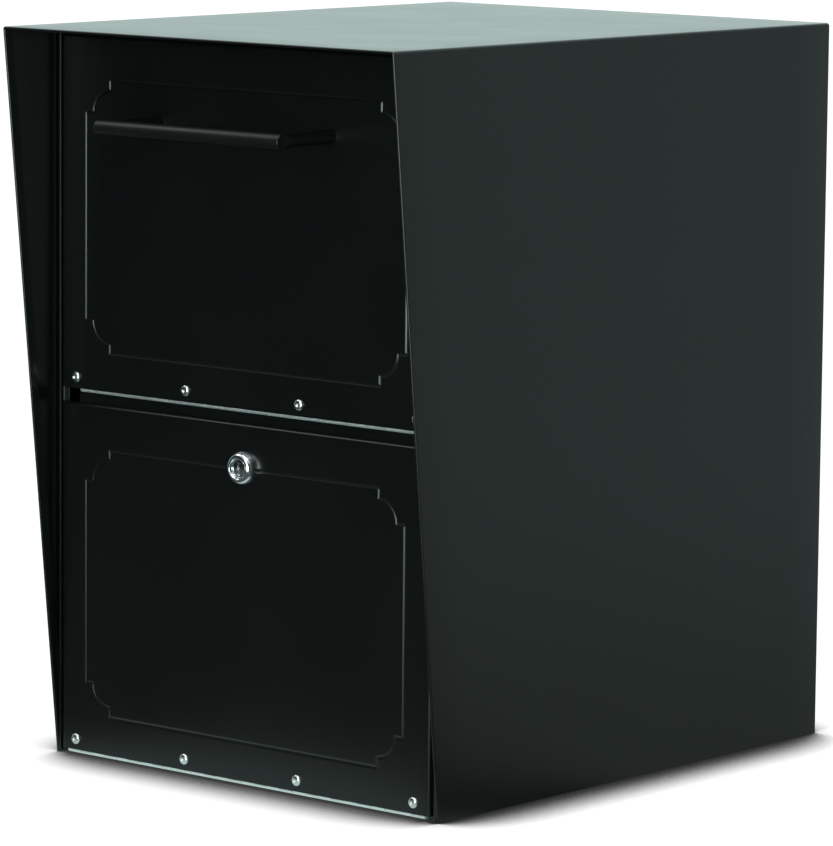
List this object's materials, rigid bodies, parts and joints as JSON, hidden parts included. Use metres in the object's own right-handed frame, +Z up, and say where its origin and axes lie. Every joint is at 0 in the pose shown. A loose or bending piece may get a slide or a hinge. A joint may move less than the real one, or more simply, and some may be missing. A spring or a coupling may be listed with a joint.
{
  "type": "parcel drop box",
  "caption": "Free-standing steel parcel drop box with hooded sloping wings, a tilting hopper door with bar handle above and a cam-locked retrieval door below, both on continuous hinges.",
  "frame": {"origin": "centre of the four floor bolt holes, on the face the box stands on", "axes": "+Z up, -Y the way the doors face, +X to the right of someone facing the doors"},
  "size_m": [0.381, 0.521, 0.552],
  "materials": {
    "powder_coat": "satin black powder coat over folded sheet steel",
    "handle_coat": "satin black powder coat on bar",
    "hinge_steel": "bare stainless continuous hinge",
    "rivet_steel": "bright domed rivets",
    "lock_chrome": "polished chrome",
    "zinc_plate": "zinc plated"
  },
  "bodies": {
    "cabinet": {"outer_wrap": "powder_coat", "back_panel": "powder_coat", "floor_pan": "powder_coat", "left_jamb": "powder_coat", "right_jamb": "powder_coat", "head_rail": "powder_coat", "cross_member": "powder_coat", "hopper_baffle": "powder_coat", "back_rivets": "rivet_steel", "upper_frame_leaf": "hinge_steel", "upper_hinge_pin": "hinge_steel", "upper_leaf_rivets": "rivet_steel", "lower_frame_leaf": "hinge_steel", "lower_hinge_pin": "hinge_steel", "lower_leaf_rivets": "rivet_steel"},
    "hopper": {"upper_door_skin": "powder_coat", "upper_door_leaf": "hinge_steel", "upper_door_rivets": "rivet_steel", "drop_tray": "powder_coat", "left_cheek": "powder_coat", "right_cheek": "powder_coat", "door_handle": "handle_coat", "handle_screws": "zinc_plate"},
    "retrieval_door": {"lower_door_skin": "powder_coat", "lower_door_liner": "powder_coat", "lower_door_leaf": "hinge_steel", "lower_door_rivets": "rivet_steel", "lock_housing": "lock_chrome", "lock_washer": "zinc_plate", "lock_nut": "zinc_plate"},
    "lock_core": {"lock_plug": "lock_chrome", "lock_cam": "zinc_plate", "cam_screw": "zinc_plate"}
  },
  "joints": [
    {"name": "hopper_tilt", "type": "hinge", "parent": "cabinet", "child": "hopper", "pos_m": [0, -0.225, 0.279], "axis": [1, 0, 0], "range_deg": [0, 60]},
    {"name": "retrieval_door_swing", "type": "hinge", "parent": "cabinet", "child": "retrieval_door", "pos_m": [0, -0.225, 0.003], "axis": [1, 0, 0], "range_deg": [0, 75]},
    {"name": "lock_turn", "type": "hinge", "parent": "retrieval_door", "child": "lock_core", "pos_m": [0.0025, -0.225, 0.237], "axis": [0, 1, 0], "range_deg": [0, 90]}
  ]
}
